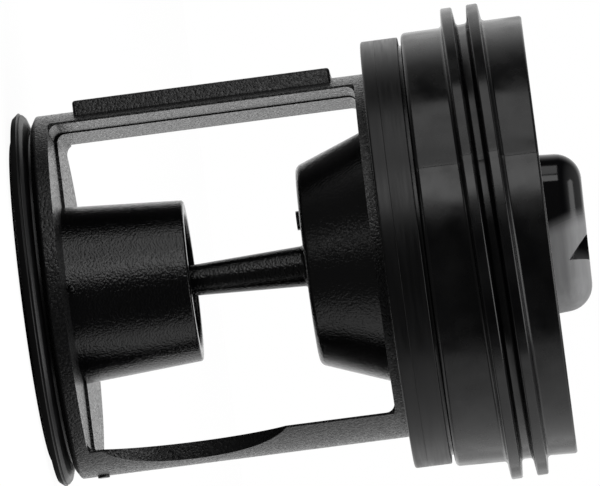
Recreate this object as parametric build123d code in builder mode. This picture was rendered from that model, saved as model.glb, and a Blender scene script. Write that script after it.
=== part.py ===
"""Drain pump lint filter: a keyed strainer cage with a guide tube, closed by a plug with a handle.

The filter stands on the open end of its cage. Z is the axis of the filter and points to the
handle. The two bars of the cage stand at -X (the keyed bar) and at +X (the waisted bar), and the
windows of the cage look along Y.
"""
import os
from math import radians, tan

from build123d import *

# Cage: the end that pushes into the pump, from the resting face upwards
end_flange_radius = 21.9
end_flange_height = 0.6
lip_seat_radius = 20.6
lip_seat_height = 2.5
end_band_height = 2.5
end_band_lead = 0.65
end_band_lead_radial = 1.1
end_plate_thickness = 2.2
end_rim_wall = 1.8

# Cage: the two bars and the windows between them
window_height = 41.3
window_span = 44.0
window_corner = 1.2
bar_thickness = 2.6
bar_width = 20.8
edge_step = 0.8
waist_radius = 15.4
waist_width = 8.2
waist_rise = 14.2
key_width = 15.6
key_height = 0.7
key_draft = 8.0
key_start = 3.4
key_length = 34.8
gate_radius = 0.8
gate_height = 0.3
gate_rise = 1.1

# Cage: the ring that carries the plug
ring_height = 1.4
flange_step = 2.0
cage_flange_height = 1.9
flange_edge = 0.35
socket_radius = 18.5
snap_rise = 1.5
snap_depth = 0.35
snap_height = 1.0

# Guide tube inside the cage
tube_base_radius = 12.0
tube_mouth_radius = 10.9
tube_length = 16.3
tube_wall = 1.9
tube_mouth_edge = 0.5

# Plug: pin, cone, flange and barrel
pin_tip_radius = 1.9
pin_root_radius = 2.75
pin_length = 19.9
pin_tip_round = 1.1
pin_root_fillet = 0.8
cone_tip_radius = 13.4
cone_height = 9.8
cone_slope = 20.7
cone_edge = 1.1
cone_wall = 2.2
ejector_radius = 1.3
ejector_height = 0.75
ejector_offset = 6.2
plug_flange_height = 3.1
barrel_radius = 26.9
barrel_wall = 2.2
barrel_height = 16.9
floor_thickness = 2.2
rim_edge = 0.5

# Plug: web and handle
web_rise = 6.0
handle_length = 21.6
handle_thickness = 8.0
handle_rise = 5.2
handle_draft = 4.0
handle_edge = 3.4
notch_length = 3.7
notch_drop = 3.0
notch_offset = 0.5
notch_depth = 3.4

# Rubber lip ring on the end of the cage
lip_radius = 25.35
lip_shoulder_radius = 24.7
lip_crest_height = 0.9
lip_step = 0.3
lip_bead_height = 2.05
lip_bead_foot = 23.2
lip_bead_fullness = 0.72
lip_foot_radius = 22.3

# Rubber sleeve round the barrel
sleeve_wall = 2.45
sleeve_flare = 0.3
sleeve_corner = 0.6
sleeve_foot_width = 0.8
sleeve_foot_height = 0.5
rib_height = 2.65
rib_crest = 1.5
rib_base = 2.05
rib_rises = (7.7, 11.2)
rib_fillet = 0.4
rib_round = 0.25
sleeve_bead_height = 3.0
sleeve_bead_depth = 0.6
sleeve_bead_rise = 3.6

# Fits
spigot_clearance = 0.08
rubber_clearance = 0.04

# Radii and heights worked out from the sizes above
cage_radius = window_span / 2 + bar_thickness
flange_radius = barrel_radius + flange_step
sleeve_radius = barrel_radius + sleeve_wall
rib_radius = sleeve_radius + rib_height
lip_seat_bottom = end_flange_height
band_bottom = lip_seat_bottom + lip_seat_height
window_bottom = band_bottom + end_band_height
window_top = window_bottom + window_height
flange_bottom = window_top + ring_height
seat_level = flange_bottom + cage_flange_height
barrel_bottom = seat_level + plug_flange_height
rim_level = barrel_bottom + barrel_height
floor_level = seat_level + floor_thickness
handle_top = rim_level + handle_rise
cone_base = window_top + snap_depth
cone_tip = cone_base - cone_height
cone_base_radius = cone_tip_radius + cone_height * tan(radians(cone_slope))
snap_level = window_top + snap_rise
plate_bottom = window_bottom - end_plate_thickness

# Strainer cage
with BuildPart() as filter_cage:
    # Outside of the cage: end rim, seat of the lip ring, drum and flange
    with BuildSketch(Plane.XZ):
        with BuildLine():
            Polyline(
                (0, plate_bottom),
                (lip_seat_radius - end_rim_wall, plate_bottom),
                (lip_seat_radius - end_rim_wall, 0),
                (end_flange_radius, 0),
                (end_flange_radius, end_flange_height),
                (lip_seat_radius, end_flange_height),
                (lip_seat_radius, band_bottom),
                (cage_radius - end_band_lead_radial, band_bottom),
                (cage_radius, band_bottom + end_band_lead),
                (cage_radius, flange_bottom),
                (flange_radius - flange_edge, flange_bottom),
                (flange_radius, flange_bottom + flange_edge),
                (flange_radius, seat_level),
                (0, seat_level),
                close=True,
            )
        make_face()
    revolve(axis=Axis.Z)

    # Window through the drum, which leaves two bars, and the step that squares their edges
    window_middle = (window_bottom + window_top) / 2
    with BuildSketch(Plane.XZ):
        with Locations((0, window_middle)):
            RectangleRounded(window_span, window_height, window_corner)
    extrude(amount=cage_radius, both=True, mode=Mode.SUBTRACT)
    for side in (-1, 1):
        with BuildSketch(Plane.XZ.offset(side * bar_width / 2)):
            with Locations((0, window_middle)):
                RectangleRounded(window_span + 2 * edge_step, window_height, window_corner)
        extrude(amount=side * cage_radius, mode=Mode.SUBTRACT)

    # Waist of the bar at +X, scooped from both sides
    waist_offset = waist_radius + waist_width / 2
    with BuildSketch(Plane.YZ.offset(window_span / 2 - window_corner)):
        with Locations(
            (-waist_offset, window_bottom + waist_rise),
            (waist_offset, window_bottom + waist_rise),
        ):
            Circle(waist_radius)
    extrude(amount=cage_radius, mode=Mode.SUBTRACT)

    # Flat key on the bar at -X, with drafted sides
    key_top = cage_radius + key_height
    key_spread = (key_top - window_span / 2) * tan(radians(key_draft))
    with BuildSketch(Plane.XY.offset(window_bottom + key_start)):
        with BuildLine():
            Polyline(
                (-key_top, -key_width / 2),
                (-key_top, key_width / 2),
                (-window_span / 2, key_width / 2 + key_spread),
                (-window_span / 2, -key_width / 2 - key_spread),
                close=True,
            )
        make_face()
    extrude(amount=key_length)

    # Gate mark left by the moulding on the waisted bar
    with BuildSketch(Plane.YZ.offset(cage_radius - gate_height)):
        with Locations((0, window_bottom + gate_rise)):
            Circle(gate_radius)
    extrude(amount=2 * gate_height)

    # Guide tube, drafted towards its mouth, open from end to end
    tube_top = window_bottom + tube_length
    tube_draft = (tube_base_radius - tube_mouth_radius) / tube_length
    with BuildSketch(Plane.XZ):
        with BuildLine():
            Polyline(
                (0, 0),
                (tube_base_radius, 0),
                (tube_base_radius, window_bottom),
                (tube_mouth_radius, tube_top),
                (0, tube_top),
                close=True,
            )
        make_face()
    revolve(axis=Axis.Z)
    tube_mouth = filter_cage.edges().filter_by(GeomType.CIRCLE).filter_by(
        lambda edge: abs(edge.center().Z - tube_top) < 0.01
    )
    fillet(tube_mouth, tube_mouth_edge)
    bore_mouth_radius = tube_mouth_radius - tube_wall
    bore_end_radius = bore_mouth_radius + tube_draft * tube_top
    with BuildSketch(Plane.XZ):
        with BuildLine():
            Polyline(
                (0, 0),
                (bore_end_radius, 0),
                (bore_mouth_radius, tube_top),
                (0, tube_top),
                close=True,
            )
        make_face()
    revolve(axis=Axis.Z, mode=Mode.SUBTRACT)

    # Socket for the plug, with the groove that its snap bead drops into
    with BuildSketch(Plane.XZ):
        with BuildLine():
            Polyline(
                (0, window_top),
                (socket_radius, window_top),
                (socket_radius, snap_level - snap_height / 2),
                (socket_radius + snap_depth, snap_level),
                (socket_radius, snap_level + snap_height / 2),
                (socket_radius, seat_level),
                (0, seat_level),
                close=True,
            )
        make_face()
    revolve(axis=Axis.Z, mode=Mode.SUBTRACT)

# Plug with the pin, the cone and the handle, moulded in one piece
spigot_radius = socket_radius - spigot_clearance
snap_radius = spigot_radius + snap_depth
inner_slope = tan(radians(cone_slope))
cup_radius = barrel_radius - barrel_wall
hollow_top_radius = cone_base_radius - cone_wall + (floor_level - cone_base) * inner_slope
hollow_bottom = cone_tip + cone_wall
hollow_bottom_radius = hollow_top_radius - (floor_level - hollow_bottom) * inner_slope
groove_bottom = barrel_bottom + sleeve_bead_rise
groove_top = groove_bottom + sleeve_bead_height
groove_radius = barrel_radius - sleeve_bead_depth

with BuildPart() as plug:
    with BuildSketch(Plane.XZ):
        with BuildLine():
            Polyline(
                (0, cone_tip),
                (cone_tip_radius, cone_tip),
                (cone_base_radius, cone_base),
                (spigot_radius, cone_base),
                (spigot_radius, snap_level - snap_height / 2),
                (snap_radius, snap_level),
                (spigot_radius, snap_level + snap_height / 2),
                (spigot_radius, seat_level),
                (flange_radius, seat_level),
                (flange_radius, barrel_bottom - flange_edge),
                (flange_radius - flange_edge, barrel_bottom),
                (barrel_radius, barrel_bottom),
                (barrel_radius, groove_bottom),
                (groove_radius, groove_bottom),
                (groove_radius, groove_top),
                (barrel_radius, groove_top),
                (barrel_radius, rim_level),
                (cup_radius + rim_edge, rim_level),
                (cup_radius, rim_level - rim_edge),
                (cup_radius, floor_level),
                (hollow_top_radius, floor_level),
                (hollow_bottom_radius, hollow_bottom),
                (0, hollow_bottom),
                close=True,
            )
        make_face()
    revolve(axis=Axis.Z)
    cone_rim = plug.edges().filter_by(GeomType.CIRCLE).filter_by(
        lambda edge: abs(edge.center().Z - cone_tip) < 0.01
    )
    fillet(cone_rim, cone_edge)

    # Pin that reaches into the guide tube
    pin_tip = cone_tip - pin_length
    with BuildSketch(Plane.XZ):
        with BuildLine():
            Polyline(
                (0, pin_tip),
                (pin_tip_radius, pin_tip),
                (pin_root_radius, cone_tip),
                (0, cone_tip),
                close=True,
            )
        make_face()
    revolve(axis=Axis.Z)
    pin_end = plug.edges().filter_by(GeomType.CIRCLE).sort_by(Axis.Z)[0]
    fillet(pin_end, pin_tip_round)
    pin_root = plug.edges().filter_by(GeomType.CIRCLE).filter_by(
        lambda edge: abs(edge.center().Z - cone_tip) < 0.01 and abs(edge.radius - pin_root_radius) < 0.01
    )
    fillet(pin_root, pin_root_fillet)

    # Ejector mark on the face of the cone
    with BuildSketch(Plane.XY.offset(cone_tip - ejector_height)):
        with Locations((-ejector_offset, 0)):
            Circle(ejector_radius)
    extrude(amount=2 * ejector_height)

    # Web across the hollow, which carries the handle
    web_top = floor_level + web_rise
    web_overlap = barrel_wall / 2
    with BuildSketch(Plane.XZ):
        with BuildLine():
            Polyline(
                (-hollow_bottom_radius, hollow_bottom - web_overlap),
                (hollow_bottom_radius, hollow_bottom - web_overlap),
                (hollow_top_radius, floor_level - web_overlap),
                (cup_radius + web_overlap, floor_level - web_overlap),
                (cup_radius + web_overlap, web_top),
                (-cup_radius - web_overlap, web_top),
                (-cup_radius - web_overlap, floor_level - web_overlap),
                (-hollow_top_radius, floor_level - web_overlap),
                close=True,
            )
        make_face()
    extrude(amount=handle_thickness / 2, both=True)

    # Handle, a drafted bar with round ends that stands out of the rim
    handle_foot = web_top - web_overlap
    draft_growth = 2 * (rim_level - handle_foot) * tan(radians(handle_draft))
    with BuildSketch(Plane.XY.offset(handle_foot)):
        SlotOverall(handle_length + draft_growth, handle_thickness + draft_growth)
    extrude(amount=handle_top - handle_foot, taper=handle_draft)
    fillet(plug.faces().sort_by(Axis.Z)[-1].edges(), handle_edge)

    # Ramp notch in the edge of the handle
    with BuildSketch(Plane.XZ.offset(handle_thickness / 2 - notch_depth)):
        with BuildLine():
            Polyline(
                (notch_offset, handle_top),
                (notch_offset + notch_length, handle_top - notch_drop),
                (notch_offset + notch_length, handle_top),
                close=True,
            )
        make_face()
    extrude(amount=2 * notch_depth, mode=Mode.SUBTRACT)

# Rubber lip ring in its seat on the cage
lip_bore = lip_seat_radius + rubber_clearance
lip_crest = lip_seat_bottom + lip_crest_height
lip_bead_end = lip_seat_bottom + lip_bead_height
with BuildPart() as lip_ring:
    with BuildSketch(Plane.XZ):
        with BuildLine():
            Polyline(
                (lip_bore, band_bottom),
                (lip_bore, lip_seat_bottom),
                (lip_shoulder_radius, lip_seat_bottom),
                (lip_radius, lip_crest),
                (lip_radius - lip_step, lip_crest),
            )
            ThreePointArc(
                (lip_radius - lip_step, lip_crest),
                (
                    lip_bead_foot + lip_bead_fullness * (lip_radius - lip_step - lip_bead_foot),
                    lip_crest + lip_bead_fullness * (lip_bead_end - lip_crest),
                ),
                (lip_bead_foot, lip_bead_end),
            )
            Polyline(
                (lip_bead_foot, lip_bead_end),
                (lip_foot_radius, lip_bead_end),
                (lip_foot_radius, band_bottom),
                (lip_bore, band_bottom),
            )
        make_face()
    revolve(axis=Axis.Z)

# Rubber sleeve round the barrel, with two sealing ribs
sleeve_bore = barrel_radius + rubber_clearance
bead_radius = groove_radius + rubber_clearance
bead_bottom = groove_bottom + rubber_clearance
bead_top = groove_top - rubber_clearance
sleeve_slope = sleeve_flare / barrel_height
with BuildPart() as seal_sleeve:
    with BuildSketch(Plane.XZ) as sleeve_section:
        with BuildLine():
            Polyline(
                (sleeve_bore, barrel_bottom),
                (sleeve_bore + sleeve_foot_width, barrel_bottom),
                (sleeve_bore + sleeve_foot_width, barrel_bottom + sleeve_foot_height),
                (sleeve_radius, barrel_bottom + sleeve_foot_height),
                (sleeve_radius + sleeve_flare, rim_level),
                (sleeve_bore, rim_level),
                (sleeve_bore, bead_top),
                (bead_radius, bead_top),
                (bead_radius, bead_bottom),
                (sleeve_bore, bead_bottom),
                close=True,
            )
        make_face()
        fillet(sleeve_section.vertices().group_by(Axis.X)[-2:], sleeve_corner)
    revolve(axis=Axis.Z)
    for rib_rise in rib_rises:
        rib_level = barrel_bottom + rib_rise
        rib_foot = sleeve_radius + sleeve_slope * (rib_rise - rib_base)
        with BuildSketch(Plane.XZ) as rib_section:
            with BuildLine():
                Polyline(
                    (rib_foot, rib_level - rib_base / 2),
                    (rib_radius, rib_level - rib_crest / 2),
                    (rib_radius, rib_level + rib_crest / 2),
                    (rib_foot, rib_level + rib_base / 2),
                    close=True,
                )
            make_face()
            fillet(rib_section.vertices().group_by(Axis.X)[-1], rib_round)
        revolve(axis=Axis.Z)
    rib_feet = (
        seal_sleeve.edges()
        .filter_by(GeomType.CIRCLE)
        .filter_by(lambda edge: barrel_bottom + sleeve_corner < edge.center().Z < rim_level - sleeve_corner)
        .filter_by(lambda edge: sleeve_radius < edge.radius < sleeve_radius + 2 * sleeve_flare)
    )
    fillet(rib_feet, rib_fillet)

os.makedirs("parts", exist_ok=True)
for name, piece in (
    ("filter_cage", filter_cage),
    ("plug", plug),
    ("lip_ring", lip_ring),
    ("seal_sleeve", seal_sleeve),
):
    piece.part.label = name
    export_step(piece.part, f"parts/{name}.step")
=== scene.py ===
# %% [markdown]
# # Lint filter of a washing machine's drain pump
# The filter is four pieces: a strainer cage and a plug, both moulded in black polypropylene, and two
# black rubber seals, a lip ring on the end of the cage and a ribbed sleeve round the plug. The frame
# holds their true sizes as loose triangles, which show as facets on a glossy black surface. So each
# piece is modelled again here at the same size, with round edges that catch the light, and replaces
# its node.

# %% Load the frame
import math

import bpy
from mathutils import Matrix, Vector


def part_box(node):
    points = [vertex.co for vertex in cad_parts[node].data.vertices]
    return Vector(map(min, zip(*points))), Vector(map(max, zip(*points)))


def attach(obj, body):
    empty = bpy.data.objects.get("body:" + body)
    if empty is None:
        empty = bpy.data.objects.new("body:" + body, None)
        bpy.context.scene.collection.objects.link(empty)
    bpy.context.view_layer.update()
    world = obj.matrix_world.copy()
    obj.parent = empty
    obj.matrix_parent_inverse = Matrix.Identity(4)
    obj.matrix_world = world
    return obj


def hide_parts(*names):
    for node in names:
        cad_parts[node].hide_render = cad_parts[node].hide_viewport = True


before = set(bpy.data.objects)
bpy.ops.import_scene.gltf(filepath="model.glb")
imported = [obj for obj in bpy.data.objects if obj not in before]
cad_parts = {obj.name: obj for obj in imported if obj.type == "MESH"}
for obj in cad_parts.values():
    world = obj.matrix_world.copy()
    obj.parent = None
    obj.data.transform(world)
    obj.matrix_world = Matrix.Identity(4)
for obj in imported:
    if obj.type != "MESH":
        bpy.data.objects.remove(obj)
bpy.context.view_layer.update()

# %% [markdown]
# ## Units and a clean start
# Sizes are written in millimetres, as on a drawing, and turned to metres where a mesh is made.
# Loading leaves every node selected, so everything is deselected first.

MM = 0.001
bpy.ops.object.select_all(action="DESELECT")

# %% [markdown]
# ## Drawing a section and spinning it
# Almost everything on the filter is round, as its moulds were turned on a lathe. A section could be
# drawn as a curve and given the Screw modifier, or pulled out of a single vertex and spun. The vertex
# is chosen, because each corner of the section is then a real point at a real size. Corners are
# rounded in the section itself, which gives cleaner edges than a bevel laid over the spun mesh.

# %% Drawing a section and spinning it
SPIN_STEPS = 256
WELD = 0.002 * MM


def rounded(corners, steps=4):
    """Points of an outline whose corners are (across, up, rounding), all in millimetres."""
    points = []
    for index, (across, up, rounding) in enumerate(corners):
        corner = Vector((across, up))
        if rounding == 0:
            points.append(corner)
            continue
        to_before = (Vector(corners[index - 1][:2]) - corner).normalized()
        to_after = (Vector(corners[(index + 1) % len(corners)][:2]) - corner).normalized()
        half_turn = to_before.angle(to_after) / 2
        centre = corner + (to_before + to_after).normalized() * rounding / math.sin(half_turn)
        first = corner + to_before * rounding / math.tan(half_turn) - centre
        last = corner + to_after * rounding / math.tan(half_turn) - centre
        for step in range(steps + 1):
            spoke = first.lerp(last, step / steps).normalized() * rounding
            points.append(centre + spoke)
    return points


def chain(name, places):
    """A single vertex is pulled from place to place, which leaves a chain of edges."""
    bpy.ops.object.select_all(action="DESELECT")
    bpy.ops.mesh.primitive_plane_add(size=MM, location=(0, 0, 0))
    piece = bpy.context.object
    piece.name = name
    bpy.ops.object.mode_set(mode="EDIT")
    bpy.ops.mesh.select_mode(type="VERT")
    bpy.ops.mesh.select_all(action="SELECT")
    bpy.ops.mesh.merge(type="CENTER")
    bpy.ops.transform.translate(value=places[0])
    for start, end in zip(places, places[1:]):
        bpy.ops.mesh.extrude_vertices_move(TRANSFORM_OT_translate={"value": end - start})
    return piece


def pick(piece, test):
    """Opens a piece for editing with only the vertices selected whose place passes a test."""
    bpy.ops.object.mode_set(mode="EDIT")
    bpy.ops.mesh.select_mode(type="VERT")
    bpy.ops.mesh.select_all(action="DESELECT")
    bpy.ops.object.mode_set(mode="OBJECT")
    for vertex in piece.data.vertices:
        vertex.select = test(vertex.co)
    bpy.ops.object.mode_set(mode="EDIT")


def close_up():
    """Merges what meets and turns all faces outwards, in edit mode, and goes back to object mode."""
    bpy.ops.mesh.select_all(action="SELECT")
    bpy.ops.mesh.remove_doubles(threshold=WELD)
    bpy.ops.mesh.normals_make_consistent(inside=False)
    bpy.ops.object.mode_set(mode="OBJECT")


def spun(name, section, azimuth=0.0, seam_turn=0.0, seam_steps=4):
    """Spins a section of (radius, height) points about the axis, from an azimuth in radians."""
    outward = Vector((math.cos(azimuth), math.sin(azimuth), 0))
    places = [(outward * point.x + Vector((0, 0, point.y))) * MM for point in section]
    piece = chain(name, places)
    bpy.ops.mesh.select_all(action="SELECT")
    turning = {"center": (0, 0, 0), "axis": (0, 0, 1)}
    if seam_turn:
        bpy.ops.mesh.spin(steps=seam_steps, angle=seam_turn, **turning)
    bpy.ops.mesh.spin(steps=SPIN_STEPS, angle=2 * math.pi - seam_turn, **turning)
    close_up()
    print(name, "spun from", len(section), "points:", len(piece.data.polygons), "faces")
    return piece


# %% [markdown]
# ## Blocks, cuts and joins
# The windows of the cage, its key and the handle aren't round. They are outlines pulled to a depth,
# and a Boolean modifier, applied at once, cuts them out of a spun piece or joins them to it. That is
# close to how the mould makes them: side cores slide in and leave their shape.

# %% Blocks, cuts and joins
def pulled(name, outline, start, depth):
    """A closed outline of 3D points in millimetres, filled, moved to start and pulled along depth."""
    places = [(point + start) * MM for point in outline]
    piece = chain(name, places + places[:1])
    bpy.ops.mesh.select_all(action="SELECT")
    bpy.ops.mesh.remove_doubles(threshold=WELD)
    bpy.ops.mesh.select_all(action="SELECT")
    bpy.ops.mesh.edge_face_add()
    bpy.ops.mesh.extrude_region_move(TRANSFORM_OT_translate={"value": depth * MM})
    close_up()
    return piece


def finish_with(piece, kind, **settings):
    """Adds a modifier to a piece and applies it."""
    bpy.ops.object.select_all(action="DESELECT")
    bpy.context.view_layer.objects.active = piece
    piece.select_set(True)
    modifier = piece.modifiers.new(kind.lower(), kind)
    for setting, value in settings.items():
        setattr(modifier, setting, value)
    bpy.ops.object.modifier_apply(modifier=modifier.name)


def carve(piece, tool, operation="DIFFERENCE"):
    """Cuts a tool out of a piece, or joins it, and throws the tool away."""
    finish_with(piece, "BOOLEAN", operation=operation, object=tool, solver="EXACT")
    bpy.data.objects.remove(tool)


def upright(points):
    """Outline points of (across, up) as 3D points in the XZ plane."""
    return [Vector((point.x, 0, point.y)) for point in points]


def smooth(piece, angle=32):
    """Smooth faces, with an edge wherever the surface really turns."""
    bpy.ops.object.select_all(action="DESELECT")
    bpy.context.view_layer.objects.active = piece
    piece.select_set(True)
    bpy.ops.object.shade_smooth_by_angle(angle=math.radians(angle))


# %% [markdown]
# ## Seal sleeve
# The sleeve is a rubber tube that is stretched over the plug's barrel. Two ribs press into the mouth
# of the pump. It was moulded in two halves, and the fine ridge where the halves met runs along it and
# over both ribs. The first degree of the spin gets narrow steps of its own, and their middle is
# pushed out by a few hundredths of a millimetre: that is the ridge.

# %% Seal sleeve
sleeve_low, sleeve_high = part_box("seal_sleeve")
sleeve_foot = sleeve_low.z / MM
sleeve_top = sleeve_high.z / MM
rib_radius = sleeve_high.x / MM
sleeve_bore = 26.94
sleeve_radius = 29.35
sleeve_flare = 0.3
sleeve_corner = 0.6
sleeve_foot_width = 0.8
sleeve_foot_height = 0.5
sleeve_foot_radius = sleeve_bore + sleeve_foot_width
sleeve_skirt = sleeve_foot + sleeve_foot_height
rib_rises = (7.7, 11.2)
rib_half_base = 1.025
rib_half_crest = 0.75
rib_round = 0.25
rib_fillet = 0.45
seam_azimuth = math.radians(-105)
seam_turn = math.radians(0.9)
seam_height = 0.06
seam_margin = 0.1
bore_spare = 1.0


def sleeve_side(rise):
    """Radius of the sleeve's outside at a height above its foot."""
    return sleeve_radius + sleeve_flare * rise / (sleeve_top - sleeve_foot)


sleeve_corners = [
    (sleeve_bore, sleeve_foot, 0.1),
    (sleeve_foot_radius, sleeve_foot, 0),
    (sleeve_foot_radius, sleeve_skirt, 0.1),
    (sleeve_radius, sleeve_skirt, sleeve_corner),
]
for rise in rib_rises:
    middle = sleeve_foot + rise
    foot_radius = sleeve_side(rise)
    sleeve_corners += [
        (foot_radius, middle - rib_half_base, rib_fillet),
        (rib_radius, middle - rib_half_crest, rib_round),
        (rib_radius, middle + rib_half_crest, rib_round),
        (foot_radius, middle + rib_half_base, rib_fillet),
    ]
sleeve_corners += [
    (sleeve_side(sleeve_top - sleeve_foot), sleeve_top, 0.35),
    (sleeve_bore, sleeve_top, 0.1),
]
sleeve_section = rounded(sleeve_corners)
sleeve = spun("sleeve", sleeve_section + sleeve_section[:1], seam_azimuth, seam_turn)


def outside(place):
    """Whether a place is on the outside of the sleeve, and not in its bore."""
    return place.to_2d().length > (sleeve_bore + bore_spare) * MM


def on_seam(place):
    """Whether a place is on the outside of the sleeve, on the crest of the seam."""
    turn = math.remainder(math.atan2(place.y, place.x) - seam_azimuth, 2 * math.pi)
    on_crest = seam_margin * seam_turn < abs(turn) < (1 - seam_margin) * seam_turn
    return on_crest and outside(place)


pick(sleeve, on_seam)
seam_scale = 1 + seam_height / sleeve_radius
bpy.ops.transform.resize(value=(seam_scale, seam_scale, 1), center_override=(0, 0, 0))
bpy.ops.object.mode_set(mode="OBJECT")
print("sleeve:", sum(vertex.select for vertex in sleeve.data.vertices), "points raised along the seam")

# %% [markdown]
# ## Leaning ribs
# A rubber sleeve is pulled on by hand and never sits quite true. In the photograph both ribs lean a
# little over a degree: they sit nearer the flange on the side of the key. The points of the ribs are
# picked by their height and turned together about the middle of the pair.

# %% Leaning ribs
rib_lean = math.radians(1.3)
ribs_foot = sleeve_foot + rib_rises[0] - 2 * rib_half_base
ribs_top = sleeve_foot + rib_rises[1] + 2 * rib_half_base
ribs_middle = (ribs_foot + ribs_top) / 2


def on_ribs(place):
    """Whether a place is on one of the two ribs, with their fillets."""
    return ribs_foot < place.z / MM < ribs_top and outside(place)


pick(sleeve, on_ribs)
bpy.ops.transform.rotate(value=rib_lean, orient_axis="Y", center_override=(0, 0, ribs_middle * MM))
bpy.ops.object.mode_set(mode="OBJECT")
crest_share = 0.99
places = [vertex.co / MM for vertex in sleeve.data.vertices]
for side, name in ((-1, "key side"), (1, "waist side")):
    levels = [place.z for place in places if side * place.x > crest_share * rib_radius]
    print("ribs on the", name, "reach from", round(min(levels), 2), "to", round(max(levels), 2), "mm")

# %% [markdown]
# ## Lip ring
# The small ring on the end of the cage is rubber too. Its section is a thin lip that leans outwards,
# with a round bead behind it. A little flash stands on the lip where the mould parted.

# %% Lip ring
ring_low, ring_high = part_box("lip_ring")
ring_foot = ring_low.z / MM
ring_top = ring_high.z / MM
lip_radius = ring_high.x / MM
ring_bore = 20.64
lip_shoulder = 24.7
lip_crest = ring_foot + 0.9
flash_height = 0.12
flash_width = 0.32
flash_lean = 0.05
flash_drop = 0.02
groove_depth = 0.22
groove_height = 0.3
bead_top = ring_foot + 2.05
bead_outer = 24.65
bead_rise = 0.75
bead_middle = 23.75
bead_fall = 0.12
bead_inner = 23.2
skirt_radius = 22.3
ring_section = rounded(
    [
        (ring_bore, ring_top, 0.1),
        (ring_bore, ring_foot, 0.1),
        (lip_shoulder, ring_foot, 0.15),
        (lip_radius, lip_crest - flash_height, 0.05),
        (lip_radius - flash_lean, lip_crest, 0.03),
        (lip_radius - flash_width, lip_crest + flash_drop, 0.05),
        (lip_radius - groove_depth, lip_crest + groove_height, 0.2),
        (bead_outer, lip_crest + bead_rise, 0.45),
        (bead_middle, bead_top - bead_fall, 0.4),
        (bead_inner, bead_top, 0.12),
        (skirt_radius, bead_top, 0.05),
        (skirt_radius, ring_top, 0.05),
    ]
)
ring = spun("ring", ring_section + ring_section[:1])

# %% [markdown]
# ## Plug
# The plug is one moulding: a pin that stands in the guide tube, a cone, half of the flange, and a
# barrel that carries the sleeve. The barrel and the cone are hollow from the handle's side. One spin
# makes all of that. A web across the hollow and a handle with round ends are joined to it.

# %% Plug
plug_low, plug_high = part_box("plug")
pin_tip = plug_low.z / MM
handle_top = plug_high.z / MM
flange_radius = plug_high.x / MM
pin_length = 19.9
pin_tip_radius = 1.9
pin_root_radius = 2.75
cone_height = 9.8
cone_tip_radius = 13.4
cone_base_radius = 17.1
cone_wall = 2.2
spigot_radius = 18.42
cone_tip = pin_tip + pin_length
cone_base = cone_tip + cone_height
seat_level = 50.2
barrel_foot = sleeve_foot
rim_level = sleeve_top
barrel_radius = 26.9
cup_radius = 24.7
cup_floor = 52.4
hollow_floor = cone_tip + cone_wall
hollow_floor_radius = 12.03
hollow_mouth_radius = 16.84
plug_section = rounded(
    [
        (0, pin_tip, 0),
        (pin_tip_radius, pin_tip, 1.1),
        (pin_root_radius, cone_tip, 0.8),
        (cone_tip_radius, cone_tip, 1.1),
        (cone_base_radius, cone_base, 0.2),
        (spigot_radius, cone_base, 0.1),
        (spigot_radius, seat_level, 0.05),
        (flange_radius, seat_level, 0.04),
        (flange_radius, barrel_foot, 0.15),
        (barrel_radius, barrel_foot, 0.05),
        (barrel_radius, rim_level, 0.3),
        (cup_radius, rim_level, 0.5),
        (cup_radius, cup_floor, 0.8),
        (hollow_mouth_radius, cup_floor, 0.5),
        (hollow_floor_radius, hollow_floor, 0.8),
        (0, hollow_floor, 0),
    ]
)
plug = spun("plug_moulding", plug_section)

# %% [markdown]
# ## Web of the plug
# The web is a plate across the hollow. It follows the hollow's outline and reaches a little into the
# walls, so that the join has no thin slivers.

# %% Web of the plug
web_rise = 6.0
web_reach = 1.1
web_top = cup_floor + web_rise
half_thickness = 4.0
web_outline = [
    (hollow_floor_radius, hollow_floor - web_reach),
    (hollow_mouth_radius, cup_floor - web_reach),
    (cup_radius + web_reach, cup_floor - web_reach),
    (cup_radius + web_reach, web_top),
]
web_outline += [(-across, up) for across, up in reversed(web_outline)]
web = pulled(
    "web",
    [Vector((across, 0, up)) for across, up in web_outline],
    Vector((0, -half_thickness, 0)),
    Vector((0, 2 * half_thickness, 0)),
)
carve(plug, web, "UNION")
print("web is", 2 * half_thickness, "mm thick and ends at", round(web_top, 2), "mm")

# %% [markdown]
# ## Handle of the plug
# The handle starts as a disc whose halves are moved apart, which gives a bar with round ends. It is
# pulled up with a draft, so that it leaves its mould, and its top edge gets a wide bevel. The top is
# turned by a little over a degree, as it is worn lower on one side.

# %% Handle of the plug
handle_length = 21.6
handle_draft = math.tan(math.radians(4.0))
handle_edge = 3.3
end_steps = 96
bevel_steps = 10
handle_foot = web_top - web_reach
foot_growth = (rim_level - handle_foot) * handle_draft
foot_thickness = half_thickness + foot_growth
foot_reach = handle_length / 2 + foot_growth - foot_thickness
bpy.ops.object.select_all(action="DESELECT")
bpy.ops.mesh.primitive_circle_add(
    vertices=end_steps, radius=foot_thickness * MM, fill_type="NGON", location=(0, 0, 0)
)
handle = bpy.context.object
handle.name = "handle"
for side in (-1, 1):
    pick(handle, lambda place: side * place.x > WELD)
    bpy.ops.transform.translate(value=(side * foot_reach * MM, 0, 0))
    bpy.ops.object.mode_set(mode="OBJECT")
bpy.ops.object.mode_set(mode="EDIT")
bpy.ops.mesh.select_all(action="SELECT")
bpy.ops.transform.translate(value=(0, 0, handle_foot * MM))
handle_height = handle_top - handle_foot
bpy.ops.mesh.extrude_region_move(TRANSFORM_OT_translate={"value": (0, 0, handle_height * MM)})
shrink = handle_height * handle_draft
length_share = 1 - shrink / (foot_reach + foot_thickness)
thickness_share = 1 - shrink / foot_thickness
bpy.ops.transform.resize(
    value=(length_share, thickness_share, 1), center_override=(0, 0, handle_top * MM)
)
bpy.ops.mesh.region_to_loop()
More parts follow.
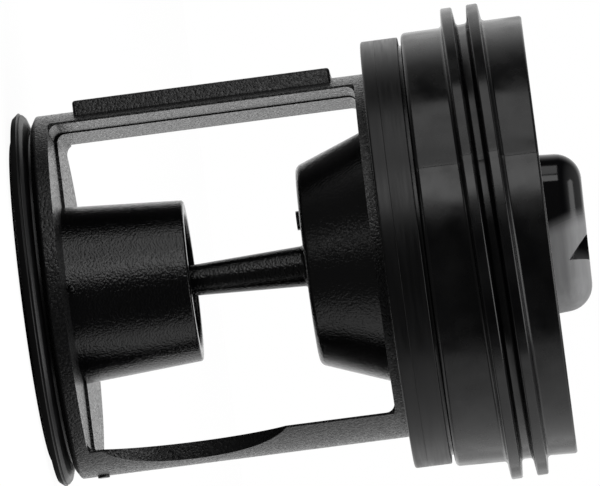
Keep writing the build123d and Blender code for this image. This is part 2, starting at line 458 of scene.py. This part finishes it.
bpy.ops.mesh.bevel(offset=handle_edge * MM, segments=bevel_steps, affect="EDGES")
close_up()
worn_turn = math.radians(-1.4)
worn_pivot = -6.0
edge_spare = 0.5
edge_level = handle_top - handle_edge
pick(handle, lambda place: place.z / MM > edge_level - edge_spare)
bpy.ops.transform.rotate(
    value=worn_turn, orient_axis="Y", center_override=(worn_pivot * MM, 0, edge_level * MM)
)
bpy.ops.object.mode_set(mode="OBJECT")
for side, name in ((-1, "key side"), (1, "waist side")):
    highest = max(vertex.co.z for vertex in handle.data.vertices if side * vertex.co.x > 0)
    print("handle is", round(highest / MM, 2), "mm high on the", name)
carve(plug, handle, "UNION")

# %% [markdown]
# ## Notch and ejector mark of the plug
# The notch in the edge of the handle is a ramp that ends in a step: a wedge is cut out. The round
# mark beside the pin is where a rod of the mould pushed the plug out. It is a flat disc, joined to
# the end of the cone.

# %% Notch and ejector mark of the plug
notch_start = 0.5
notch_length = 3.7
notch_drop = 3.0
notch_depth = 3.4
above_handle = 1.0
notch_slope = notch_drop / notch_length
notch_outline = [
    Vector((notch_start - above_handle / notch_slope, 0, handle_top + above_handle)),
    Vector((notch_start + notch_length, 0, handle_top - notch_drop)),
    Vector((notch_start + notch_length, 0, handle_top + above_handle)),
]
notch_back = Vector((0, notch_depth - half_thickness, 0))
notch = pulled("notch", notch_outline, notch_back, Vector((0, -2 * notch_depth, 0)))
carve(plug, notch)

ejector_radius = 1.3
ejector_offset = 6.2
ejector_height = 0.75
ejector_steps = 40
ejector_turns = [2 * math.pi * step / ejector_steps for step in range(ejector_steps)]
ejector = pulled(
    "ejector",
    [Vector((math.cos(turn), math.sin(turn), 0)) * ejector_radius for turn in ejector_turns],
    Vector((-ejector_offset, 0, cone_tip - ejector_height)),
    Vector((0, 0, 2 * ejector_height)),
)
carve(plug, ejector, "UNION")
print("plug:", len(plug.data.polygons), "faces after the joins")

# %% [markdown]
# ## Cage
# The cage is the other moulding: an end ring, a drum with a window right through it, and the ring and
# flange that take the plug. The drum is spun as a whole, and its end plate is a little too thick at
# first, because the window's cut gives the plate its top.

# %% Cage
window_foot = 5.6
rim_bore = 18.8
rim_radius = 21.9
rim_height = 0.6
ring_seat = 20.6
band_foot = 3.1
lead_radius = 23.5
lead_top = 3.75
drum_radius = 24.6
flange_foot = 48.3
socket_radius = 18.5
plate_hole = 11.0
plate_bottom = 3.4
plate_spare = 1.2
plate_top = window_foot + plate_spare
cage_section = rounded(
    [
        (plate_hole, plate_bottom, 0),
        (rim_bore, plate_bottom, 0.3),
        (rim_bore, 0, 0.2),
        (rim_radius, 0, 0.2),
        (rim_radius, rim_height, 0.12),
        (ring_seat, rim_height, 0),
        (ring_seat, band_foot, 0),
        (lead_radius, band_foot, 0.2),
        (drum_radius, lead_top, 0.4),
        (drum_radius, flange_foot, 0.25),
        (flange_radius, flange_foot, 0.3),
        (flange_radius, seat_level, 0.04),
        (socket_radius, seat_level, 0.08),
        (socket_radius, plate_top, 0),
        (plate_hole, plate_top, 0),
    ]
)
cage = spun("cage_moulding", cage_section + cage_section[:1])

# %% [markdown]
# ## Window of the cage
# The window is cut out of the drum, which leaves two bars that are round outside and flat inside. In
# the mould two cores meet in the middle of the window. The rear one is a little smaller, which leaves
# a fine step all round inside the window, and its far end is scaled down, because a core needs a
# draft to slide out. A wider cut from each side leaves a second step along the edges of the bars.

# %% Window of the cage
window_top = 46.9
window_span = 44.0
window_corner = 1.2
corner_steps = 8
through = 60.0


def window_outline(span, foot=window_foot):
    """A rectangle with rounded corners, as wide as span, from a foot to the top of the window."""
    half = span / 2
    corners = [(-half, foot), (half, foot), (half, window_top), (-half, window_top)]
    return upright(rounded([(*corner, window_corner) for corner in corners], corner_steps))


core_meeting = -0.9
core_overlap = 5.0
side_step = 0.12
foot_step = 0.3
far_share = (0.975, 1, 0.97)
front_start = Vector((0, -through, 0))
front_depth = Vector((0, through + core_meeting, 0))
carve(cage, pulled("front_core", window_outline(window_span), front_start, front_depth))
rear_outline = window_outline(window_span - 2 * side_step, window_foot + foot_step)
rear_start = Vector((0, core_meeting - core_overlap, 0))
rear_core = pulled("rear_core", rear_outline, rear_start, Vector((0, through, 0)))
pick(rear_core, lambda place: place.y / MM > through / 2)
bpy.ops.transform.resize(value=far_share, center_override=(0, 0, window_top * MM))
bpy.ops.object.mode_set(mode="OBJECT")
carve(cage, rear_core)
bar_half_width = 10.4
edge_step = 0.8
rear_lift = 1.5
for side, foot in ((-1, window_foot), (1, window_foot + rear_lift)):
    step_outline = window_outline(window_span + 2 * edge_step, foot)
    step_start = Vector((0, side * bar_half_width, 0))
    step_depth = Vector((0, side * through, 0))
    carve(cage, pulled("edge_step", step_outline, step_start, step_depth))
print("cage:", len(cage.data.polygons), "faces after the window")

# %% [markdown]
# ## Waist of the cage
# The waist is two round scoops in the sides of the bar at +X. They are discs in the YZ plane, pulled
# through the bar and cut out of it.

# %% Waist of the cage
waist_radius = 15.4
waist_half_width = 4.1
waist_rise = 14.2
waist_steps = 160
scoop_length = 20.0
waist_offset = waist_radius + waist_half_width
waist_level = window_foot + waist_rise


def disc_outline(radius, steps):
    """A circle in the YZ plane."""
    turns = [2 * math.pi * step / steps for step in range(steps)]
    return [Vector((0, radius * math.cos(turn), radius * math.sin(turn))) for turn in turns]


for side in (-1, 1):
    scoop_start = Vector((window_span / 2 - window_corner, side * waist_offset, waist_level))
    scoop = disc_outline(waist_radius, waist_steps)
    carve(cage, pulled("scoop", scoop, scoop_start, Vector((scoop_length, 0, 0))))
print("bar is", 2 * waist_half_width, "mm wide at its waist")

# %% [markdown]
# ## Key and gate mark of the cage
# The key on the bar at -X turns the filter the right way up in the pump. It is a block with a draft
# and small round edges, and its root reaches into the bar. A small round gate mark stands on the
# other bar, where the plastic was fed in.

# %% Key and gate mark of the cage
key_half_width = 7.8
key_top = 25.3
key_root = 22.6
key_draft = math.tan(math.radians(8.0))
key_spread = (key_top - key_root) * key_draft
key_edge = 0.4
key_rise = 3.4
key_foot = window_foot + key_rise
key_length = 34.8
key = pulled(
    "key",
    [
        Vector((-key_top, -key_half_width, 0)),
        Vector((-key_top, key_half_width, 0)),
        Vector((-key_root, key_half_width + key_spread, 0)),
        Vector((-key_root, -key_half_width - key_spread, 0)),
    ],
    Vector((0, 0, key_foot)),
    Vector((0, 0, key_length)),
)
bpy.ops.object.mode_set(mode="EDIT")
bpy.ops.mesh.select_all(action="SELECT")
bpy.ops.mesh.bevel(offset=key_edge * MM, segments=3, affect="EDGES")
close_up()
carve(cage, key, "UNION")
gate_radius = 0.8
gate_height = 0.3
gate_rise = 1.1
gate_steps = 32
gate_place = Vector((drum_radius - gate_height, 0, window_foot + gate_rise))
gate_depth = Vector((2 * gate_height, 0, 0))
gate = pulled("gate", disc_outline(gate_radius, gate_steps), gate_place, gate_depth)
carve(cage, gate, "UNION")
print("key is", key_length, "mm long and stands", round(key_top - drum_radius, 2), "mm off the bar")

# %% [markdown]
# ## Guide tube of the cage
# The tube stands in the hole of the end plate and narrows towards the pin. It is spun on its own and
# joined to the cage. A grain of plastic, left by the mould, sits at its foot: a small sphere that is
# half sunk in.

# %% Guide tube of the cage
tube_length = 16.3
tube_radius = 12.0
tube_bore = 10.47
mouth_radius = 10.9
mouth_bore = 9.0
tube_mouth = window_foot + tube_length
tube_section = rounded(
    [
        (tube_bore, 0, 0.2),
        (tube_radius, 0, 0.2),
        (tube_radius, window_foot, 0),
        (mouth_radius, tube_mouth, 0.35),
        (mouth_bore, tube_mouth, 0.35),
    ]
)
tube = spun("tube", tube_section + tube_section[:1])
carve(cage, tube, "UNION")
bpy.ops.object.select_all(action="DESELECT")
grain_radius = 0.55
grain_place = Vector((0.3, -12.3, window_foot + 0.6))
bpy.ops.mesh.primitive_uv_sphere_add(
    segments=24, ring_count=12, radius=grain_radius * MM, location=grain_place * MM
)
bpy.ops.object.transform_apply(location=True)
carve(cage, bpy.context.object, "UNION")
print("cage:", len(cage.data.polygons), "faces when whole")

# %% [markdown]
# ## Soft edges
# No moulded edge is sharp. The cuts and joins left sharp ones, and a narrow Bevel modifier rounds
# them, so that each edge shows a fine line of light, as it does on the real plastic.

# %% Soft edges
plug_edge = 0.18
cage_edge = 0.14
for piece, edge in ((plug, plug_edge), (cage, cage_edge)):
    finish_with(
        piece,
        "BEVEL",
        width=edge * MM,
        segments=2,
        limit_method="ANGLE",
        angle_limit=math.radians(38),
        use_clamp_overlap=True,
        harden_normals=False,
    )
for piece in (sleeve, ring, plug, cage):
    smooth(piece)
    finish_with(piece, "WEIGHTED_NORMAL", keep_sharp=True, weight=80)
    triangles = sum(len(face.vertices) - 2 for face in piece.data.polygons)
    print(piece.name, "has", triangles, "triangles")

# %% [markdown]
# ## Colours and nodes
# Colours are written as sRGB hex, as a paint chart gives them, and one function turns them to the
# linear values that a shader wants. One small function adds a node, sets it and links it.

# %% Colours and nodes
def linear(hex_colour):
    """sRGB hex to a linear colour with full alpha."""
    channels = [int(hex_colour[start:start + 2], 16) / 255 for start in (1, 3, 5)]
    return (*[c / 12.92 if c <= 0.04045 else ((c + 0.055) / 1.055) ** 2.4 for c in channels], 1.0)


def add(tree, kind, inputs=None, **settings):
    """Adds a node; inputs are values, or outputs of other nodes to link from."""
    node = tree.nodes.new(kind)
    for setting, value in settings.items():
        setattr(node, setting, value)
    for socket, value in (inputs or {}).items():
        if isinstance(value, bpy.types.NodeSocket):
            tree.links.new(value, node.inputs[socket])
        else:
            node.inputs[socket].default_value = value
    return node


def new_material(name):
    """An empty material: its tree, its shader and the object's own coordinates."""
    material = bpy.data.materials.new(name)
    material.use_nodes = True
    tree = material.node_tree
    shader = tree.nodes["Principled BSDF"]
    return material, tree, shader, add(tree, "ShaderNodeTexCoord").outputs["Object"]


# %% [markdown]
# ## Sparked polypropylene
# The outside of the cage has a fine sparked grain, which the mould got from spark erosion. It breaks
# a reflection into a grey speckle. Real grains are about a quarter of a millimetre; they are drawn a
# third of a millimetre wide, so that they still show in the render.

# %% Sparked polypropylene
def sparked_polypropylene():
    material, tree, shader, place = new_material("sparked_polypropylene")
    grain_size = 0.34
    grain = add(
        tree,
        "ShaderNodeTexNoise",
        {"Vector": place, "Scale": 1 / (grain_size * MM), "Detail": 2.0},
    )
    patch_size = 6.0
    patches = add(
        tree,
        "ShaderNodeTexNoise",
        {"Vector": place, "Scale": 1 / (patch_size * MM), "Detail": 3.0},
    )
    tone = add(tree, "ShaderNodeMix", {"Factor": patches.outputs["Fac"]}, data_type="RGBA")
    tone.inputs["A"].default_value = linear("#0a0a0b")
    tone.inputs["B"].default_value = linear("#131314")
    gloss = add(
        tree,
        "ShaderNodeMapRange",
        {
            "Value": grain.outputs["Fac"],
            "From Min": 0.35,
            "From Max": 0.65,
            "To Min": 0.14,
            "To Max": 0.46,
        },
    )
    grain_depth = 0.13
    relief = add(
        tree,
        "ShaderNodeBump",
        {"Height": grain.outputs["Fac"], "Strength": 0.8, "Distance": grain_depth * MM},
    )
    tree.links.new(tone.outputs["Result"], shader.inputs["Base Color"])
    tree.links.new(gloss.outputs["Result"], shader.inputs["Roughness"])
    tree.links.new(relief.outputs["Normal"], shader.inputs["Normal"])
    shader.inputs["IOR"].default_value = 1.49
    return material


# %% [markdown]
# ## Polished polypropylene
# The guide tube, the pin, the cone and the barrel came out of a polished mould. They mirror the
# lamps, with a slight waviness where the plastic shrank as it cooled, and tiny pits that roughen the
# highlight.

# %% Polished polypropylene
def polished_polypropylene():
    material, tree, shader, place = new_material("polished_polypropylene")
    wave_size = 7.0
    waves = add(
        tree,
        "ShaderNodeTexNoise",
        {"Vector": place, "Scale": 1 / (wave_size * MM), "Detail": 1.0},
    )
    pit_size = 0.3
    pits = add(
        tree,
        "ShaderNodeTexNoise",
        {"Vector": place, "Scale": 1 / (pit_size * MM), "Detail": 2.0},
    )
    gloss = add(
        tree,
        "ShaderNodeMapRange",
        {
            "Value": pits.outputs["Fac"],
            "From Min": 0.35,
            "From Max": 0.7,
            "To Min": 0.1,
            "To Max": 0.22,
        },
    )
    wave_depth = 0.2
    wavy = add(
        tree,
        "ShaderNodeBump",
        {"Height": waves.outputs["Fac"], "Strength": 0.3, "Distance": wave_depth * MM},
    )
    pit_depth = 0.1
    pitted = add(
        tree,
        "ShaderNodeBump",
        {
            "Height": pits.outputs["Fac"],
            "Strength": 0.7,
            "Distance": pit_depth * MM,
            "Normal": wavy.outputs["Normal"],
        },
    )
    tone = add(tree, "ShaderNodeMix", {"Factor": waves.outputs["Fac"]}, data_type="RGBA")
    tone.inputs["A"].default_value = linear("#070708")
    tone.inputs["B"].default_value = linear("#0b0b0c")
    tree.links.new(tone.outputs["Result"], shader.inputs["Base Color"])
    tree.links.new(gloss.outputs["Result"], shader.inputs["Roughness"])
    tree.links.new(pitted.outputs["Normal"], shader.inputs["Normal"])
    shader.inputs["IOR"].default_value = 1.49
    return material


# %% [markdown]
# ## Moulded rubber
# Both seals are black rubber from a smooth mould. Rubber is a little duller than the plastic, its
# highlight is broad, and handling leaves faint cloudy patches on it.

# %% Moulded rubber
def moulded_rubber(name, dark, light, least_rough, most_rough):
    material, tree, shader, place = new_material(name)
    cloud_size = 5.0
    clouds = add(
        tree,
        "ShaderNodeTexNoise",
        {"Vector": place, "Scale": 1 / (cloud_size * MM), "Detail": 4.0},
    )
    skin_size = 0.35
    skin = add(
        tree,
        "ShaderNodeTexNoise",
        {"Vector": place, "Scale": 1 / (skin_size * MM), "Detail": 2.0},
    )
    tone = add(tree, "ShaderNodeMix", {"Factor": clouds.outputs["Fac"]}, data_type="RGBA")
    tone.inputs["A"].default_value = linear(dark)
    tone.inputs["B"].default_value = linear(light)
    gloss = add(
        tree,
        "ShaderNodeMapRange",
        {
            "Value": clouds.outputs["Fac"],
            "From Min": 0.35,
            "From Max": 0.7,
            "To Min": least_rough,
            "To Max": most_rough,
        },
    )
    skin_depth = 0.03
    relief = add(
        tree,
        "ShaderNodeBump",
        {"Height": skin.outputs["Fac"], "Strength": 0.12, "Distance": skin_depth * MM},
    )
    tree.links.new(tone.outputs["Result"], shader.inputs["Base Color"])
    tree.links.new(gloss.outputs["Result"], shader.inputs["Roughness"])
    tree.links.new(relief.outputs["Normal"], shader.inputs["Normal"])
    shader.inputs["IOR"].default_value = 1.5
    return material


# %% [markdown]
# ## Satin polypropylene
# The flange is neither sparked nor polished. It was turned in the mould, and the fine tool marks run
# round it: the noise is squeezed along the axis and stretched around it, which smears the highlight
# into streaks.

# %% Satin polypropylene
def satin_polypropylene():
    material, tree, shader, place = new_material("satin_polypropylene")
    mark_width = 0.45
    mark_length = 9.0
    marks_scale = (1 / (mark_length * MM), 1 / (mark_length * MM), 1 / (mark_width * MM))
    stretched = add(tree, "ShaderNodeVectorMath", {0: place, 1: marks_scale}, operation="MULTIPLY")
    marks = add(
        tree,
        "ShaderNodeTexNoise",
        {"Vector": stretched.outputs["Vector"], "Scale": 1.0, "Detail": 4.0},
    )
    gloss = add(
        tree,
        "ShaderNodeMapRange",
        {
            "Value": marks.outputs["Fac"],
            "From Min": 0.3,
            "From Max": 0.7,
            "To Min": 0.28,
            "To Max": 0.4,
        },
    )
    tone = add(tree, "ShaderNodeMix", {"Factor": marks.outputs["Fac"]}, data_type="RGBA")
    tone.inputs["A"].default_value = linear("#060607")
    tone.inputs["B"].default_value = linear("#0d0d0e")
    mark_depth = 0.03
    relief = add(
        tree,
        "ShaderNodeBump",
        {"Height": marks.outputs["Fac"], "Strength": 0.05, "Distance": mark_depth * MM},
    )
    tree.links.new(tone.outputs["Result"], shader.inputs["Base Color"])
    tree.links.new(gloss.outputs["Result"], shader.inputs["Roughness"])
    tree.links.new(relief.outputs["Normal"], shader.inputs["Normal"])
    shader.inputs["IOR"].default_value = 1.45
    return material


# %% [markdown]
# ## Painted reflection on the handle
# The flat sides of the handle mirror a bright lamp beyond it, and that reflection is painted into the
# plastic's colour as a pale grey, all but the end on the key's side, which stays black. The edge of
# the painted reflection runs across the handle on a slant, and fine streaks run along it. In the
# notch the same painted reflection fades on a slant of its own into painted shade.

# %% Painted reflection on the handle
def reflection_painted_polypropylene(name, slant, dark_until, pale_from):
    """Pale where x, leaning with the height, is past pale_from; black up to dark_until, both in mm."""
    material, tree, shader, place = new_material(name)
    split = add(tree, "ShaderNodeSeparateXYZ", {"Vector": place})
    edge_level = 71.0
    lean = add(
        tree,
        "ShaderNodeMath",
        {0: split.outputs["Z"], 1: slant, 2: -slant * edge_level * MM},
        operation="MULTIPLY_ADD",
    )
    along = add(
        tree,
        "ShaderNodeMath",
        {0: split.outputs["X"], 1: lean.outputs["Value"]},
        operation="ADD",
    )
    # Mask of the painted reflection: black plastic up to dark_until, pale painted reflection from
    # pale_from.
    painted_sheen = add(
        tree,
        "ShaderNodeMapRange",
        {"Value": along.outputs["Value"], "From Min": dark_until * MM, "From Max": pale_from * MM},
        interpolation_type="SMOOTHSTEP",
    )
    streak_length = 6.0
    streak_width = 0.6
    streaks_scale = (1 / (streak_length * MM), 1 / (streak_width * MM), 1 / (streak_width * MM))
    stretched = add(tree, "ShaderNodeVectorMath", {0: place, 1: streaks_scale}, operation="MULTIPLY")
    streaks = add(
        tree,
        "ShaderNodeTexNoise",
        {"Vector": stretched.outputs["Vector"], "Scale": 1.0, "Detail": 3.0},
    )
    # Pale grey with streaks along the handle: the painted reflection of the lamp beyond it.
    pale = add(tree, "ShaderNodeMix", {"Factor": streaks.outputs["Fac"]}, data_type="RGBA")
    pale.inputs["A"].default_value = linear("#8a8a8b")
    pale.inputs["B"].default_value = linear("#a8a8a9")
    tone = add(
        tree,
        "ShaderNodeMix",
        {"Factor": painted_sheen.outputs["Result"], "A": linear("#08080a"), "B": pale.outputs["Result"]},
        data_type="RGBA",
    )
    gloss = add(
        tree,
        "ShaderNodeMapRange",
        {"Value": painted_sheen.outputs["Result"], "To Min": 0.14, "To Max": 0.45},
    )
    tree.links.new(tone.outputs["Result"], shader.inputs["Base Color"])
    tree.links.new(gloss.outputs["Result"], shader.inputs["Roughness"])
    shader.inputs["IOR"].default_value = 1.49
    return material


# %% [markdown]
# ## Giving each surface its finish
# One moulding can have several finishes, as the mould is polished in one place and sparked in
# another. Each face takes its finish from where it lies: how far it reaches from the axis, and where
# its middle is.

# %% Giving each surface its finish
def give_finishes(piece, materials, choose):
    """Each face gets the material that choose() returns for its reach and its middle, both in mm."""
    piece.data.materials.clear()
    for material in materials:
        piece.data.materials.append(material)
    counts = {material.name: 0 for material in materials}
    for face in piece.data.polygons:
        places = [piece.data.vertices[corner].co for corner in face.vertices]
        reach = max(place.to_2d().length for place in places) / MM
        chosen = choose(reach, face.center / MM)
        face.material_index = materials.index(chosen)
        counts[chosen.name] += 1
    print(piece.name, "finishes:", counts)


sparked = sparked_polypropylene()
polished = polished_polypropylene()
satin = satin_polypropylene()
# The pale grey on the handle is a painted reflection; in the notch it fades into painted shade.
painted_sheen = reflection_painted_polypropylene(
    "reflection_painted_polypropylene", slant=0.335, dark_until=-1.9, pale_from=1.0
)
# In the recess of the notch the painted reflection fades on a slant into painted shade.
notch_painted_shade = reflection_painted_polypropylene(
    "notch_shade_painted_polypropylene", slant=-0.6, dark_until=0.2, pale_from=4.6
)
sleeve_rubber = moulded_rubber(
    "sleeve_rubber", dark="#050506", light="#0a0a0b", least_rough=0.17, most_rough=0.34
)
ring_rubber = moulded_rubber(
    "ring_rubber", dark="#0a0a0b", light="#111112", least_rough=0.3, most_rough=0.45
)
tube_reach = 13.0
handle_reach = 13.0
flange_spare = 0.2
flange_level = window_top + 1.0
barrel_spare = 0.5
front_spare = 0.6
ramp_spare = 0.05
step_spare = 0.1


def cage_finish(reach, middle):
    """The guide tube is polished and the flange is satin; all else on the cage is sparked."""
    if reach < tube_reach:
        return polished
    on_flange = reach > drum_radius + flange_spare and middle.z > flange_level
    return satin if on_flange else sparked


def in_notch(middle):
    """Whether a face lies in the notch, above its ramp and behind the front of the handle."""
    along = middle.x - notch_start
    above_ramp = middle.z > handle_top - notch_slope * along - ramp_spare
    behind_front = -half_thickness + front_spare < middle.y < 0
    return 0 < along < notch_length + step_spare and above_ramp and behind_front


def plug_finish(reach, middle):
    """Handle: painted reflection, fading to painted shade in the notch; flange: satin; the rest:
    polished.
    """
    if reach < handle_reach and middle.z > web_top:
        return notch_painted_shade if in_notch(middle) else painted_sheen
    return satin if reach > barrel_radius + barrel_spare else polished


give_finishes(cage, (sparked, polished, satin), cage_finish)
give_finishes(plug, (polished, satin, painted_sheen, notch_painted_shade), plug_finish)
give_finishes(sleeve, (sleeve_rubber,), lambda reach, middle: sleeve_rubber)
give_finishes(ring, (ring_rubber,), lambda reach, middle: ring_rubber)

# %% [markdown]
# ## Taking the place of the solids
# Each finished piece takes the place of one node of the frame, which is hidden. It rides on the same
# body, so that it moves as the solid would.

# %% Taking the place of the solids
for piece, node, slot in (
    (cage, "filter_cage", "cage_plastic"),
    (plug, "plug", "plug_plastic"),
    (ring, "lip_ring", "lip_rubber"),
    (sleeve, "seal_sleeve", "sleeve_rubber"),
):
    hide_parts(node)
    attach(piece, "root")
    print(piece.name, "stands for", node)

# %% [markdown]
# ## Camera
# The photograph looks at the filter from far off, square to its axis, from about the height of the
# handle, and shows it lying: its axis runs across the picture and rises a little to the right. Here
# it stands, so the camera is turned on its side instead. Sizes in the picture give the distance and
# the lens. Lines across the filter lean a degree more than its axis does, as in a picture that is
# cropped out of a larger one. The camera's roll lies between the two.

# %% Camera
picture_width = 600
pixels_per_mm = 7.43
camera_distance = 1078.0
camera_level = 70.0
bar_turn = math.radians(6.3)
axis_rise = math.radians(7.4)
aim_level = 36.79
aim_up = 3.15
sensor = 36.0

towards_camera = Vector((math.sin(bar_turn), -math.cos(bar_turn), 0))
picture_up = Vector((-math.cos(bar_turn), -math.sin(bar_turn), 0))
axis = Vector((0, 0, 1))
camera_place = (towards_camera * camera_distance + axis * camera_level) * MM
aim = (axis * aim_level + picture_up * aim_up) * MM
back = (camera_place - aim).normalized()
up_hint = axis * math.sin(axis_rise) + picture_up * math.cos(axis_rise)
right = up_hint.cross(back).normalized()
up = back.cross(right)
camera_turn = Matrix((right, up, back)).transposed()
camera_data = bpy.data.cameras.new("camera")
camera_data.sensor_width = sensor
camera_data.lens = sensor * (camera_place - aim).length / MM / (picture_width / pixels_per_mm)
camera_data.clip_start = 0.01
camera = bpy.data.objects.new("camera", camera_data)
camera.matrix_world = Matrix.Translation(camera_place) @ camera_turn.to_4x4()
bpy.context.scene.collection.objects.link(camera)
bpy.context.scene.camera = camera
print("lens in mm:", round(camera_data.lens, 1))

# %% [markdown]
# ## Soft boxes
# Black plastic shows what it mirrors, more than its own colour, so each lamp is placed for the bright
# band that it leaves on the round pieces. Two small boxes stand towards the picture's top and give
# the two bands on the sleeve and the tube. A large one below lights the lower sides, and one beyond
# the handle lights its pale grey, which is a painted reflection. Two little panels lie on the floor
# and brighten the cone from below.

# %% Soft boxes
def around(angle, rise=0.0):
    """A direction at an angle from the camera to the picture's top, with some rise to the handle."""
    turn = math.radians(angle)
    return (towards_camera * math.cos(turn) + picture_up * math.sin(turn) + axis * rise).normalized()


def soft_box(name, direction, distance, level, width, height, brightness):
    """A flat lamp that faces the filter from a direction; its brightness is 1 for a white wall."""
    data = bpy.data.lights.new(name, "AREA")
    data.shape = "RECTANGLE"
    data.size = width
    data.size_y = height
    data.energy = 4 * brightness * width * height
    lamp = bpy.data.objects.new(name, data)
    lamp.location = direction * distance + axis * level
    lamp.rotation_euler = direction.to_track_quat("Z", "Y").to_euler()
    lamp.visible_camera = False
    bpy.context.scene.collection.objects.link(lamp)
    return lamp


soft_box(
    "key_box", around(32.75), distance=0.3, level=0.07, width=0.114, height=0.14, brightness=1.75
)
soft_box(
    "upper_box", around(63.5), distance=0.3, level=0.07, width=0.165, height=0.14, brightness=1.05
)
soft_box(
    "table_box", around(-98), distance=0.6, level=0.3, width=1.08, height=0.6, brightness=0.7
)
soft_box(
    "handle_box", around(-32, 1.8), distance=0.8, level=0.04, width=0.7, height=0.8, brightness=1.5
)
panel_level = 0.002


def floor_panel(name, forward, upward, size, brightness):
    """A small flat lamp on the floor, so many mm towards the camera and the picture's top."""
    panel = soft_box(name, axis, 0.0, panel_level, size, size, brightness)
    panel.location += (towards_camera * forward + picture_up * upward) * MM
    panel.rotation_euler = (math.pi, 0, -bar_turn)


floor_panel("cone_panel", forward=26, upward=-84, size=0.07, brightness=0.5)
floor_panel("spot_panel", forward=57, upward=22, size=0.013, brightness=1.3)

# %% [markdown]
# ## World
# The world is pale behind the filter and dark on the camera's side, so that each round piece gets a
# pale rim and a dark front, as in the photograph. A soft ceiling keeps the filter readable from other
# sides. For the camera itself the world is plain white.

# %% World
world = bpy.data.worlds.new("studio")
bpy.context.scene.world = world
world.use_nodes = True
sky = world.node_tree
direction = add(sky, "ShaderNodeTexCoord").outputs["Generated"]
palest = tuple(around(168))
behind = add(sky, "ShaderNodeVectorMath", {0: direction, 1: palest}, operation="DOT_PRODUCT")
paleness = add(
    sky,
    "ShaderNodeMapRange",
    {
        "Value": behind.outputs["Value"],
        "From Min": 0.4,
        "From Max": 0.98,
        "To Min": 0.03,
        "To Max": 1.0,
    },
    interpolation_type="SMOOTHSTEP",
)
rise = add(sky, "ShaderNodeSeparateXYZ", {"Vector": direction}).outputs["Z"]
ceiling = add(
    sky,
    "ShaderNodeMapRange",
    {"Value": rise, "From Min": 0.45, "From Max": 1.0, "To Min": 0.0, "To Max": 0.4},
    interpolation_type="SMOOTHSTEP",
)
brighter = add(
    sky,
    "ShaderNodeMath",
    {0: paleness.outputs["Result"], 1: ceiling.outputs["Result"]},
    operation="MAXIMUM",
)
seen = add(sky, "ShaderNodeLightPath").outputs["Is Camera Ray"]
strength = add(sky, "ShaderNodeMix", {"Factor": seen, "A": brighter.outputs["Value"], "B": 1.0})
background = sky.nodes["Background"]
background.inputs["Color"].default_value = linear("#ffffff")
sky.links.new(strength.outputs["Result"], background.inputs["Strength"])
print("the world is palest towards", [round(part, 2) for part in palest])

# %% [markdown]
# ## Floor
# The floor is a sheet of grey paper that keeps the shadow. For the camera it glows, so that it fades
# into the white of the world. For mirrored rays it is pale behind the filter and dark in front of it,
# as the world is.

# %% Floor
floor_size = 1.2
paper_glow = 0.95
bpy.ops.object.select_all(action="DESELECT")
bpy.ops.mesh.primitive_plane_add(size=floor_size, location=(0, 0, 0))
floor = bpy.context.object
floor.name = "floor"
paper, paper_tree, paper_shader, paper_place = new_material("grey_paper")
paper_shader.inputs["Base Color"].default_value = linear("#545454")
paper_shader.inputs["Roughness"].default_value = 0.9
paper_shader.inputs["Specular IOR Level"].default_value = 0.0
rays = add(paper_tree, "ShaderNodeLightPath").outputs
outward = add(paper_tree, "ShaderNodeVectorMath", {0: paper_place}, operation="NORMALIZE")
rearward = add(
    paper_tree,
    "ShaderNodeVectorMath",
    {0: outward.outputs["Vector"], 1: tuple(-towards_camera)},
    operation="DOT_PRODUCT",
)
mirrored = add(
    paper_tree,
    "ShaderNodeMapRange",
    {
        "Value": rearward.outputs["Value"],
        "From Min": -0.3,
        "From Max": 0.95,
        "To Min": 0.02,
        "To Max": paper_glow,
    },
    interpolation_type="SMOOTHSTEP",
)
in_gloss = add(
    paper_tree,
    "ShaderNodeMath",
    {0: rays["Is Glossy Ray"], 1: mirrored.outputs["Result"]},
    operation="MULTIPLY",
)
white = add(
    paper_tree,
    "ShaderNodeMath",
    {0: rays["Is Camera Ray"], 1: paper_glow, 2: in_gloss.outputs["Value"]},
    operation="MULTIPLY_ADD",
)
glow = add(
    paper_tree,
    "ShaderNodeEmission",
    {"Color": linear("#ffffff"), "Strength": white.outputs["Value"]},
)
both = add(
    paper_tree,
    "ShaderNodeAddShader",
    {0: paper_shader.outputs["BSDF"], 1: glow.outputs["Emission"]},
)
paper_tree.links.new(both.outputs["Shader"], paper_tree.nodes["Material Output"].inputs["Surface"])
floor.data.materials.append(paper)
bpy.context.scene.view_settings.view_transform = "Standard"
print("floor is", floor_size, "m wide")
